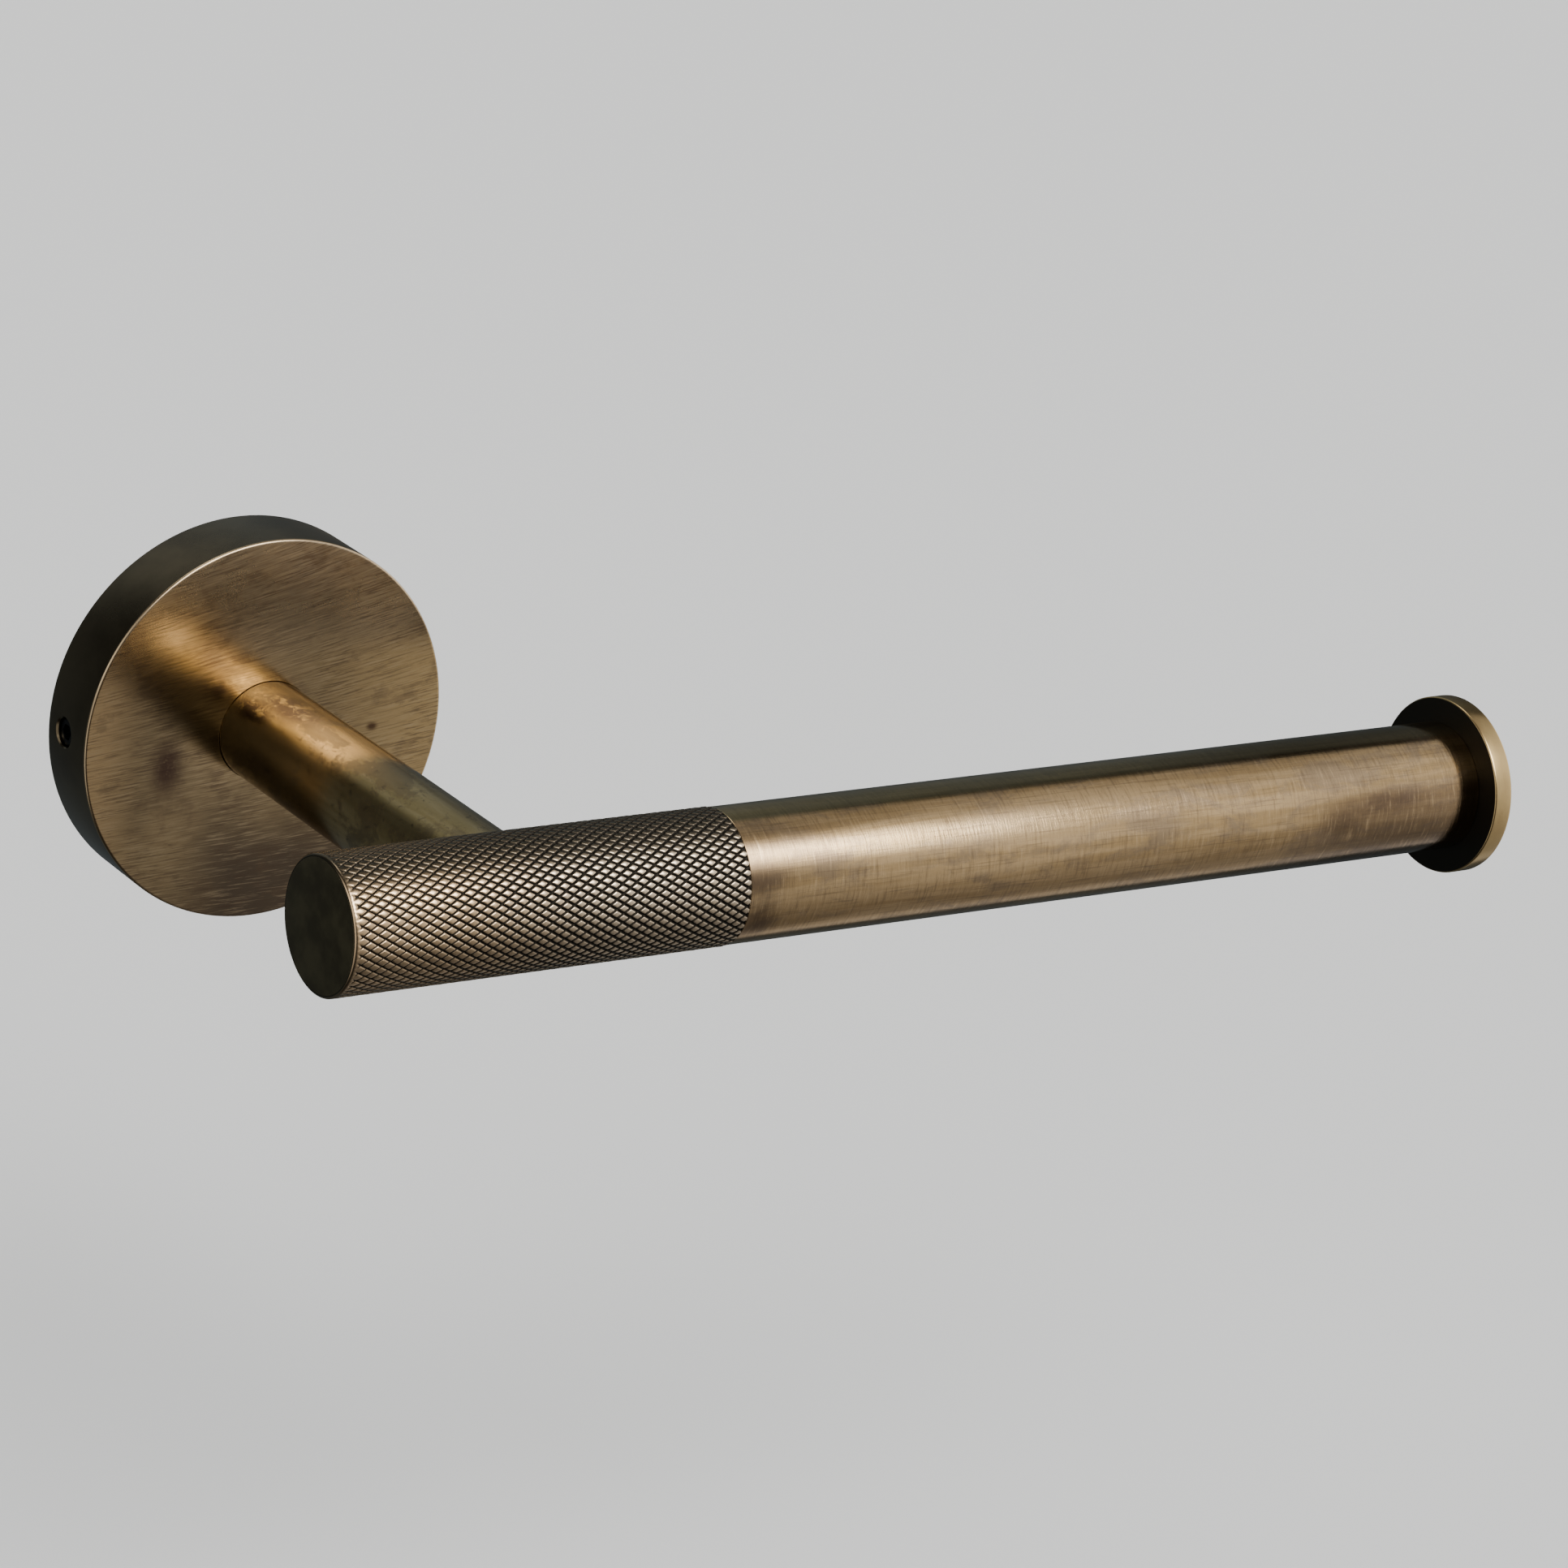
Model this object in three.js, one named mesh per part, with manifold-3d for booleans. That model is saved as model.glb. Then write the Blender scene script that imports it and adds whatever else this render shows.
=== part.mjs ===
// Wall-mounted toilet roll holder in aged brass, as an assembly of separate pieces.
// Millimetres. The origin is on the wall plane, at the post's axis. The bar runs along +X,
// away from the wall is -Y, and +Z is up.
import * as THREE from 'three';
import { mergeVertices } from 'three/addons/utils/BufferGeometryUtils.js';
import Module from 'manifold-3d';

const wasm = await Module();
wasm.setup();

// Driving dimensions. "Out" is a distance from the wall plane along the post's axis, and
// "along" is a distance from the post's axis along the bar.
const GAP = 0.3; // between pieces that touch or thread together

const ROSE_RADIUS = 27;
const ROSE_DEPTH = 11.25;
const ROSE_WALL = 3.5;
const ROSE_FACE = 2.7;
const ROSE_CHAMFER = 0.35;
const ROSE_SEAT_DEPTH = 0.6;

const PLATE_RADIUS = 22;
const PLATE_DEPTH = 6.4;
const PLATE_CHAMFER = 0.4;
const PLATE_POCKET_RADIUS = 8.5;
const PLATE_POCKET_FLOOR = 2.0;

const WOOD_SCREW_SPACING = 31.6;
const WOOD_SCREW_LENGTH = 20;
const WOOD_SCREW_HEAD_RADIUS = 3.8;
const WOOD_SCREW_RADIUS = 2.0;
const WOOD_SCREW_TIP = 5;
const WOOD_SCREW_SLOT = 3; // how far the lower hole lets the plate be levelled
const CROSS_RECESS = { width: 4.2, thickness: 1.0, depth: 1.8 };

const GRUB_RADIUS = 1.8;
const GRUB_LENGTH = 4.0;
const GRUB_OUT = 4.8;
const GRUB_RECESS = 0.5; // how far its head sits below the rim
const GRUB_SOCKET = { flats: 2, depth: 2 };

const POST_RADIUS = 7;
const BAR_AXIS_OUT = 75.8;

const THREAD_RADIUS = 2.7; // every M6 male thread in the assembly, as a plain core
const SCREW_HEAD_RADIUS = 5.2;
const SCREW_HEAD_HEIGHT = 2.9;
const SCREW_REACH = 22; // out of the wall, inside the post
const SCREW_SOCKET = { flats: 4, depth: 1.9 };
const WASHER_RADIUS = 6;
const SPRING_WASHER_RADIUS = 5;
const WASHER_THICKNESS = 1.2;
const WASHER_BORE_RADIUS = 3.2;
const SPRING_WASHER_SPLIT = 1.0;

const STUD_START = 54; // out of the wall, inside the post
const STUD_PAST_AXIS = 2.5;

const BAR_RADIUS = 9;
const KNURL_RADIUS = 9.1;
const BAR_BORE_RADIUS = 6.5;
const CORE_RADIUS = BAR_BORE_RADIUS - GAP;
const GRIP_LEFT_END = -27.2;
const GRIP_RIGHT_END = 30.6;
const GRIP_CHAMFER = 0.3;
const CORE_RIGHT_END = 62;
const CAP_RADIUS = 7.7;
const CAP_THICKNESS = 2.6;
const CAP_RECESS = 0.1;
const CAP_THREAD_LENGTH = 8;

const FLANGE_FACE = 152.8;
const FLANGE_THICKNESS = 3;
const FLANGE_RADIUS = 12.5;
const FLANGE_CHAMFER = 0.35;
const FLANGE_THREAD_LENGTH = 12;
const PLUG_LENGTH = 15;

const ROUND = 64; // facets round a large piece
const SMALL_ROUND = 32;
const SCREW_ROUND = 24;

const AGED_BRASS = { color: 0x8a6f4a, roughness: 0.38, metalness: 1 };
const KNURL_BRASS = { color: 0xb7a283, roughness: 0.4, metalness: 1 };
const TURNED_BRASS = { color: 0xb08d57, roughness: 0.35, metalness: 1 };
const BLACK_STEEL = { color: 0x191919, roughness: 0.45, metalness: 1 };
const ZINC_STEEL = { color: 0xa9abad, roughness: 0.4, metalness: 1 };
const CAST_ZINC = { color: 0x8f9192, roughness: 0.55, metalness: 1 };

// A solid turned about +Y from [radius, height] points. The points start and end on the
// axis, or close on themselves to make a ring.
function turned(points, segments = ROUND) {
  return new THREE.LatheGeometry(points.map(([r, h]) => new THREE.Vector2(r, h)), segments);
}

// A ring about +Y between two heights, with a bore.
function ring(outer, bore, bottom, top, segments = ROUND) {
  return turned([[bore, bottom], [outer, bottom], [outer, top], [bore, top], [bore, bottom]], segments);
}

// A plain rod about +Y between two heights, with chamfered ends.
function rod(radius, bottom, top, chamfer, segments = SCREW_ROUND) {
  return turned([
    [0, bottom], [radius - chamfer, bottom], [radius, bottom + chamfer],
    [radius, top - chamfer], [radius - chamfer, top], [0, top],
  ], segments);
}

// A cutting cylinder about +Y between two heights.
function drill(radius, bottom, top, segments = SCREW_ROUND) {
  return new THREE.CylinderGeometry(radius, radius, top - bottom, segments)
    .translate(0, (bottom + top) / 2, 0);
}

// A six-sided cutting prism about +Y, with its mouth at the height given.
function hexSocket({ flats, depth }, mouth, into) {
  const overrun = 1;
  return new THREE.CylinderGeometry(flats / Math.sqrt(3), flats / Math.sqrt(3), depth + overrun, 6)
    .translate(0, mouth + into * (depth - overrun) / 2, 0);
}

function asSolid(geometry) {
  const bare = geometry.clone();
  bare.deleteAttribute('normal');
  bare.deleteAttribute('uv');
  const merged = mergeVertices(bare, 1e-5);
  const corners = [];
  const { array } = merged.index;
  for (let i = 0; i < array.length; i += 3) {
    const [a, b, c] = [array[i], array[i + 1], array[i + 2]];
    if (a !== b && b !== c && c !== a) corners.push(a, b, c);
  }
  return new wasm.Manifold(new wasm.Mesh({
    numProp: 3,
    vertProperties: new Float32Array(merged.attributes.position.array),
    triVerts: new Uint32Array(corners),
  }));
}

function asGeometry(solid) {
  const mesh = solid.getMesh();
  const geometry = new THREE.BufferGeometry();
  geometry.setAttribute('position', new THREE.BufferAttribute(mesh.vertProperties, 3));
  geometry.setIndex(new THREE.BufferAttribute(mesh.triVerts, 1));
  geometry.computeVertexNormals();
  return geometry;
}

function cut(geometry, ...cutters) {
  return asGeometry(cutters.reduce((solid, cutter) => solid.subtract(asSolid(cutter)), asSolid(geometry)));
}

function piece(name, geometry, finish) {
  const mesh = new THREE.Mesh(geometry, new THREE.MeshStandardMaterial(finish));
  mesh.name = name;
  return mesh;
}

// ---- Pieces on the post's axis, drawn about +Y with height as the distance out of the wall.
// Their group is turned half round about Z, so +Y there is away from the wall.

// The countersunk seat of one wood screw in the plate, open at the plate's front.
function screwSeat() {
  const shankHole = WOOD_SCREW_RADIUS + GAP;
  const mouth = WOOD_SCREW_HEAD_RADIUS + GAP;
  const overrun = 1;
  return turned([
    [0, -overrun], [shankHole, -overrun], [shankHole, PLATE_DEPTH - (mouth - shankHole)],
    [mouth, PLATE_DEPTH], [mouth, PLATE_DEPTH + overrun], [0, PLATE_DEPTH + overrun],
  ], SCREW_ROUND);
}

function wallPlate() {
  const disc = turned([
    [0, 0], [PLATE_RADIUS, 0], [PLATE_RADIUS, PLATE_DEPTH - PLATE_CHAMFER],
    [PLATE_RADIUS - PLATE_CHAMFER, PLATE_DEPTH], [0, PLATE_DEPTH],
  ]);
  const pocket = drill(PLATE_POCKET_RADIUS, PLATE_POCKET_FLOOR, PLATE_DEPTH + 1, SMALL_ROUND);
  const offset = WOOD_SCREW_SPACING / 2;
  const upper = screwSeat().translate(0, 0, offset);
  const lower = [-1, 0, 1].map((step) => (
    screwSeat().translate(step * WOOD_SCREW_SLOT / 2, 0, -offset)
  ));
  return cut(disc, pocket, upper, ...lower);
}

function woodScrew() {
  const top = PLATE_DEPTH - GAP;
  const tip = top - WOOD_SCREW_LENGTH;
  const neck = top - (WOOD_SCREW_HEAD_RADIUS - WOOD_SCREW_RADIUS);
  const body = turned([
    [0, tip], [WOOD_SCREW_RADIUS, tip + WOOD_SCREW_TIP], [WOOD_SCREW_RADIUS, neck],
    [WOOD_SCREW_HEAD_RADIUS, top], [0, top],
  ], SCREW_ROUND);
  const { width, thickness, depth } = CROSS_RECESS;
  const across = new THREE.BoxGeometry(width, 2 * depth, thickness).translate(0, top, 0);
  const upright = new THREE.BoxGeometry(thickness, 2 * depth, width).translate(0, top, 0);
  return cut(body, across, upright);
}

function rose() {
  const inside = ROSE_DEPTH - ROSE_FACE;
  const cup = turned([
    [0, inside], [ROSE_RADIUS - ROSE_WALL, inside], [ROSE_RADIUS - ROSE_WALL, GAP],
    [ROSE_RADIUS, GAP], [ROSE_RADIUS, ROSE_DEPTH - ROSE_CHAMFER],
    [ROSE_RADIUS - ROSE_CHAMFER, ROSE_DEPTH], [0, ROSE_DEPTH],
  ]);
  const screwHole = drill(WASHER_BORE_RADIUS, inside - 1, ROSE_DEPTH + 1);
  const postSeat = drill(POST_RADIUS + GAP, ROSE_DEPTH - ROSE_SEAT_DEPTH, ROSE_DEPTH + 1, SMALL_ROUND);
  const grubHole = drill(GRUB_RADIUS + GAP, ROSE_RADIUS - ROSE_WALL - 1, ROSE_RADIUS + 1)
    .rotateZ(-Math.PI / 2).translate(0, GRUB_OUT, 0);
  return cut(cup, screwHole, postSeat, grubHole);
}

function roseGrubScrew() {
  const head = ROSE_RADIUS - GRUB_RECESS;
  const body = rod(GRUB_RADIUS, head - GRUB_LENGTH, head, GRUB_RADIUS / 4);
  return cut(body, hexSocket(GRUB_SOCKET, head, -1)).rotateZ(-Math.PI / 2).translate(0, GRUB_OUT, 0);
}

function post() {
  const base = ROSE_DEPTH - ROSE_SEAT_DEPTH + GAP;
  const blankEnd = BAR_AXIS_OUT - KNURL_RADIUS * 2 / 3;
  const blank = drill(POST_RADIUS, base, blankEnd, ROUND);
  const boreRadius = THREAD_RADIUS + GAP;
  const baseBore = drill(boreRadius, base - 1, SCREW_REACH + 2);
  const farBore = drill(boreRadius, STUD_START - 1, blankEnd + 1);
  const saddle = drill(KNURL_RADIUS + GAP, -2 * POST_RADIUS, 2 * POST_RADIUS, ROUND)
    .rotateZ(Math.PI / 2).translate(0, BAR_AXIS_OUT, 0);
  return cut(blank, baseBore, farBore, saddle);
}

// Heights of the clamping stack under the rose's face, from the face towards the wall.
const WASHER_TOP = ROSE_DEPTH - ROSE_FACE - GAP;
const SPRING_WASHER_TOP = WASHER_TOP - WASHER_THICKNESS - GAP;
const SCREW_HEAD_TOP = SPRING_WASHER_TOP - WASHER_THICKNESS - GAP;

function postScrew() {
  const bottom = SCREW_HEAD_TOP - SCREW_HEAD_HEIGHT;
  const body = turned([
    [0, bottom], [SCREW_HEAD_RADIUS * 0.55, bottom], [SCREW_HEAD_RADIUS * 0.85, bottom + 0.9],
    [SCREW_HEAD_RADIUS, bottom + 2.1], [SCREW_HEAD_RADIUS, SCREW_HEAD_TOP],
    [THREAD_RADIUS, SCREW_HEAD_TOP], [THREAD_RADIUS, SCREW_REACH - 0.6],
    [THREAD_RADIUS - 0.6, SCREW_REACH], [0, SCREW_REACH],
  ], SMALL_ROUND);
  return cut(body, hexSocket(SCREW_SOCKET, bottom, 1));
}

function postSpringWasher() {
  const washer = ring(SPRING_WASHER_RADIUS, WASHER_BORE_RADIUS, SPRING_WASHER_TOP - WASHER_THICKNESS,
    SPRING_WASHER_TOP, SMALL_ROUND);
  const split = new THREE.BoxGeometry(SPRING_WASHER_RADIUS, 3 * WASHER_THICKNESS, SPRING_WASHER_SPLIT)
    .translate(SPRING_WASHER_RADIUS * 0.8, SPRING_WASHER_TOP - WASHER_THICKNESS / 2, 0);
  return cut(washer, split);
}

function postStud() {
  const body = rod(THREAD_RADIUS, STUD_START, BAR_AXIS_OUT + STUD_PAST_AXIS, 0.6);
  return cut(body, hexSocket({ flats: 3, depth: 3 }, STUD_START, 1));
}

// ---- Pieces on the bar's axis, drawn about +Y with height as the distance along the bar.
// Their group turns +Y to +X, and -X there faces the wall.

function knurledSleeve() {
  const counterboreRadius = CAP_RADIUS + GAP;
  const counterboreEnd = GRIP_LEFT_END + CAP_THICKNESS + CAP_RECESS + GAP;
  const sleeve = turned([
    [counterboreRadius, GRIP_LEFT_END], [KNURL_RADIUS - GRIP_CHAMFER, GRIP_LEFT_END],
    [KNURL_RADIUS, GRIP_LEFT_END + GRIP_CHAMFER], [KNURL_RADIUS, GRIP_RIGHT_END],
    [BAR_BORE_RADIUS, GRIP_RIGHT_END], [BAR_BORE_RADIUS, counterboreEnd],
    [counterboreRadius, counterboreEnd], [counterboreRadius, GRIP_LEFT_END],
  ]);
  const studHole = drill(THREAD_RADIUS + GAP, 0, KNURL_RADIUS + 1).rotateZ(Math.PI / 2);
  return cut(sleeve, studHole);
}

const CORE_LEFT_END = GRIP_LEFT_END + CAP_RECESS + CAP_THICKNESS + GAP;

function gripEndCap() {
  const face = GRIP_LEFT_END + CAP_RECESS;
  const back = face + CAP_THICKNESS;
  return turned([
    [0, face], [CAP_RADIUS, face], [CAP_RADIUS, back], [THREAD_RADIUS, back],
    [THREAD_RADIUS, back + CAP_THREAD_LENGTH], [0, back + CAP_THREAD_LENGTH],
  ]);
}

function barCore() {
  const core = drill(CORE_RADIUS, CORE_LEFT_END, CORE_RIGHT_END, SMALL_ROUND);
  const capBore = drill(THREAD_RADIUS + GAP, CORE_LEFT_END - 1, CORE_LEFT_END + CAP_THREAD_LENGTH + 1);
  const studBore = drill(THREAD_RADIUS + GAP, -STUD_PAST_AXIS - GAP, CORE_RADIUS + 1)
    .rotateZ(Math.PI / 2);
  return cut(core, capBore, studBore);
}

function endFlange() {
  const outside = FLANGE_FACE + FLANGE_THICKNESS;
  return turned([
    [0, FLANGE_FACE - FLANGE_THREAD_LENGTH], [THREAD_RADIUS, FLANGE_FACE - FLANGE_THREAD_LENGTH],
    [THREAD_RADIUS, FLANGE_FACE], [FLANGE_RADIUS - FLANGE_CHAMFER, FLANGE_FACE],
    [FLANGE_RADIUS, FLANGE_FACE + FLANGE_CHAMFER], [FLANGE_RADIUS, outside - FLANGE_CHAMFER],
    [FLANGE_RADIUS - FLANGE_CHAMFER, outside], [0, outside],
  ]);
}

// ---- The assembly.

const wallSide = new THREE.Group();
wallSide.rotation.z = Math.PI;
wallSide.add(
  piece('wall_plate', wallPlate(), CAST_ZINC),
  piece('rose', rose(), AGED_BRASS),
  piece('rose_grub_screw', roseGrubScrew(), BLACK_STEEL),
  piece('post', post(), AGED_BRASS),
  piece('post_screw', postScrew(), ZINC_STEEL),
  piece('post_washer', ring(WASHER_RADIUS, WASHER_BORE_RADIUS, WASHER_TOP - WASHER_THICKNESS,
    WASHER_TOP, SMALL_ROUND), ZINC_STEEL),
  piece('post_spring_washer', postSpringWasher(), ZINC_STEEL),
  piece('post_stud', postStud(), ZINC_STEEL),
);
for (const [name, side] of [['wall_screw_upper', 1], ['wall_screw_lower', -1]]) {
  const screw = piece(name, woodScrew(), ZINC_STEEL);
  screw.position.z = side * WOOD_SCREW_SPACING / 2;
  wallSide.add(screw);
}

const barSide = new THREE.Group();
barSide.position.y = -BAR_AXIS_OUT;
barSide.rotation.z = -Math.PI / 2;
barSide.add(
  piece('knurled_sleeve', knurledSleeve(), KNURL_BRASS),
  piece('grip_end_cap', gripEndCap(), AGED_BRASS),
  piece('bar_core', barCore(), TURNED_BRASS),
  piece('bar_tube', ring(BAR_RADIUS, BAR_BORE_RADIUS, GRIP_RIGHT_END + GAP, FLANGE_FACE - GAP), AGED_BRASS),
  piece('end_plug', ring(CORE_RADIUS, THREAD_RADIUS + GAP, FLANGE_FACE - GAP - PLUG_LENGTH,
    FLANGE_FACE - GAP, SMALL_ROUND), TURNED_BRASS),
  piece('end_flange', endFlange(), AGED_BRASS),
);

const rollHolder = new THREE.Group();
rollHolder.add(wallSide, barSide);

export default rollHolder;
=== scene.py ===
"""Looks of a wall-mounted toilet roll holder in aged brass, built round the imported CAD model.

Metres, in the model's frame: the wall plane is y = 0, away from the wall is -Y, the bar runs
along +X and +Z is up. Profiles are drawn in millimetres, and MM turns them into metres.
"""

import math

import bpy
import bmesh
import numpy as np
from mathutils import Matrix, Vector


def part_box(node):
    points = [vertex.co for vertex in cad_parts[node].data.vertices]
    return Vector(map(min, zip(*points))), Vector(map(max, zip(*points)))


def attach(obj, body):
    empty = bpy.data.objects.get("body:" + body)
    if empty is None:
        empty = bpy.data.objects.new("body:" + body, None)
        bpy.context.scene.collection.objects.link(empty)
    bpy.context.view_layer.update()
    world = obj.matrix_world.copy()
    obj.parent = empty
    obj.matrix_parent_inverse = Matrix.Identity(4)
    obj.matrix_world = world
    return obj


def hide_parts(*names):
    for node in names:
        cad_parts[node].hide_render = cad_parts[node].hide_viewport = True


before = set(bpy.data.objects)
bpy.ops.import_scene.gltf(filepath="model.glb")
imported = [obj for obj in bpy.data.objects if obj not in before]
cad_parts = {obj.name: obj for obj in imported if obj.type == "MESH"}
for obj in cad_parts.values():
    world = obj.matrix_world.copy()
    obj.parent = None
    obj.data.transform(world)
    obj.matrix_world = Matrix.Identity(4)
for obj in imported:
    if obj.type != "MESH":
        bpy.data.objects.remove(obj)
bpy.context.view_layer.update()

MM = 0.001


# ---- Sizes, in millimetres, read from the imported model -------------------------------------

def corners(node):
    low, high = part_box(node)
    return low / MM, high / MM


ROSE_LOW, ROSE_HIGH = corners("rose")
POST_HIGH = corners("post")[1]
PLATE_LOW, PLATE_HIGH = corners("wall_plate")
GRIP_LOW, GRIP_HIGH = corners("knurled_sleeve")
TUBE_LOW, TUBE_HIGH = corners("bar_tube")
CAP_LOW, CAP_HIGH = corners("grip_end_cap")
FLANGE_LOW, FLANGE_HIGH = corners("end_flange")
GRUB_LOW, GRUB_HIGH = corners("rose_grub_screw")
SCREW_LOW, SCREW_HIGH = corners("wall_screw_upper")
HEAD_LOW, HEAD_HIGH = corners("post_screw")
WASHER_LOW, WASHER_HIGH = corners("post_washer")
SPLIT_LOW, SPLIT_HIGH = corners("post_spring_washer")

ROSE_RADIUS = ROSE_HIGH.z
ROSE_DEPTH = -ROSE_LOW.y
ROSE_BACK = -ROSE_HIGH.y
ROSE_WALL = 3.5
ROSE_FACE = 2.7
POST_RADIUS = POST_HIGH.x
POST_BASE = -POST_HIGH.y
BAR_OUT = -(TUBE_LOW.y + TUBE_HIGH.y) / 2
BAR_RADIUS = TUBE_HIGH.z
GRIP_RADIUS = GRIP_HIGH.z
BORE_RADIUS = 6.5  # inside the grip and the tube
END_DISC_RADIUS = GRIP_RADIUS - 0.44
END_DISC_SEAT = 3.0  # how deep the end disc sits in the grip
FLANGE_RADIUS = FLANGE_HIGH.z
FLANGE_THICKNESS = 3.0
PLATE_RADIUS = PLATE_HIGH.z
PLATE_DEPTH = -PLATE_LOW.y
GRUB_OUT = -(GRUB_LOW.y + GRUB_HIGH.y) / 2
GRUB_RADIUS = GRUB_HIGH.z
WOOD_SCREW_AT = (SCREW_LOW.z + SCREW_HIGH.z) / 2

KNURL_STARTS = 45  # grooves round the grip, in each direction
KNURL_PITCH = 2.083  # along the grip, from one diamond to the next
KNURL_DEPTH = 0.3
M6_CORE = 2.7  # radius of a male M6 thread, drawn plain
M6_CLEARANCE = 3.2  # radius of the hole that an M6 screw passes through


# ---- Mesh helpers --------------------------------------------------------------------------

def on_post(radius, angle, height):
    """A point at a distance out from the wall, round the post's axis."""
    return (radius * math.cos(angle) * MM, -height * MM, radius * math.sin(angle) * MM)


def on_bar(radius, angle, height):
    """A point at a distance along the bar, round the bar's axis. Angle 0 faces the room."""
    return (height * MM, -(BAR_OUT + radius * math.cos(angle)) * MM, radius * math.sin(angle) * MM)


def on_grub(radius, angle, height):
    """A point at a distance to the left of the post's axis, round the grub screw's axis."""
    return (-height * MM, -(GRUB_OUT + radius * math.cos(angle)) * MM, radius * math.sin(angle) * MM)


def rounded(outline, steps=5):
    """The outline through (radius, height, fillet) corners, with an arc at each fillet."""
    points = []
    for i, (radius, height, fillet) in enumerate(outline):
        here = Vector((radius, height))
        if fillet == 0:
            points.append((radius, height))
            continue
        back = (Vector(outline[i - 1][:2]) - here).normalized()
        ahead = (Vector(outline[(i + 1) % len(outline)][:2]) - here).normalized()
        half = back.angle(ahead) / 2
        centre = here + (back + ahead).normalized() * (fillet / math.sin(half))
        reach = fillet / math.tan(half)
        start, end = here + back * reach, here + ahead * reach
        for k in range(steps + 1):
            p = centre + (start.lerp(end, k / steps) - centre).normalized() * fillet
            points.append((p.x, p.y))
    return points


def new_piece(name, vertices, faces, material, sharp=30):
    mesh = bpy.data.meshes.new(name)
    mesh.from_pydata(vertices, [], faces)
    shape = bmesh.new()
    shape.from_mesh(mesh)
    bmesh.ops.recalc_face_normals(shape, faces=shape.faces)
    shape.to_mesh(mesh)
    shape.free()
    mesh.shade_smooth()
    mesh.set_sharp_from_angle(angle=math.radians(sharp))
    piece = bpy.data.objects.new(name, mesh)
    bpy.context.scene.collection.objects.link(piece)
    if material:
        mesh.materials.append(material)
    return piece


def turned(name, outline, place, material, segments=192, closed=False, sharp=30):
    """A turned piece from a (radius, height) outline, which ends on the axis or is a closed ring."""
    vertices, rows = [], []
    for radius, height in outline:
        if radius < 1e-6:
            rows.append([len(vertices)] * segments)
            vertices.append(place(0, 0, height))
            continue
        rows.append(list(range(len(vertices), len(vertices) + segments)))
        vertices += [place(radius, 2 * math.pi * i / segments, height) for i in range(segments)]
    faces = []
    pairs = list(zip(rows, rows[1:])) + ([(rows[-1], rows[0])] if closed else [])
    for lower, upper in pairs:
        for i in range(segments):
            j = (i + 1) % segments
            face = [lower[i], lower[j], upper[j], upper[i]]
            face = [v for k, v in enumerate(face) if v != face[k - 1]]
            if len(face) > 2:
                faces.append(face)
    return new_piece(name, vertices, faces, material, sharp)


def cut(piece, *cutters, sharp=30):
    """Takes the cutters out of the piece, and removes them."""
    for cutter in cutters:
        modifier = piece.modifiers.new("cut", "BOOLEAN")
        modifier.operation = "DIFFERENCE"
        modifier.solver = "EXACT"
        modifier.object = cutter
        with bpy.context.temp_override(object=piece, active_object=piece):
            bpy.ops.object.modifier_apply(modifier=modifier.name)
        bpy.data.objects.remove(cutter)
    piece.data.shade_smooth()
    piece.data.set_sharp_from_angle(angle=math.radians(sharp))
    return piece


def hexagon(place, flats, low, high):
    """A six-sided cutter across its flats, between two heights."""
    corner = flats / math.sqrt(3)
    return turned("cutter", [(0, low), (corner, low), (corner, high), (0, high)], place, None, segments=6)


def show(piece, body, slot, *nodes):
    """Hands the piece to the frame: what it rides on and the nodes it stands for. The slot, its finish, is
    not used.
    """
    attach(piece, body)
    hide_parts(*nodes)
    return piece


# ---- Material helpers ----------------------------------------------------------------------

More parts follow.
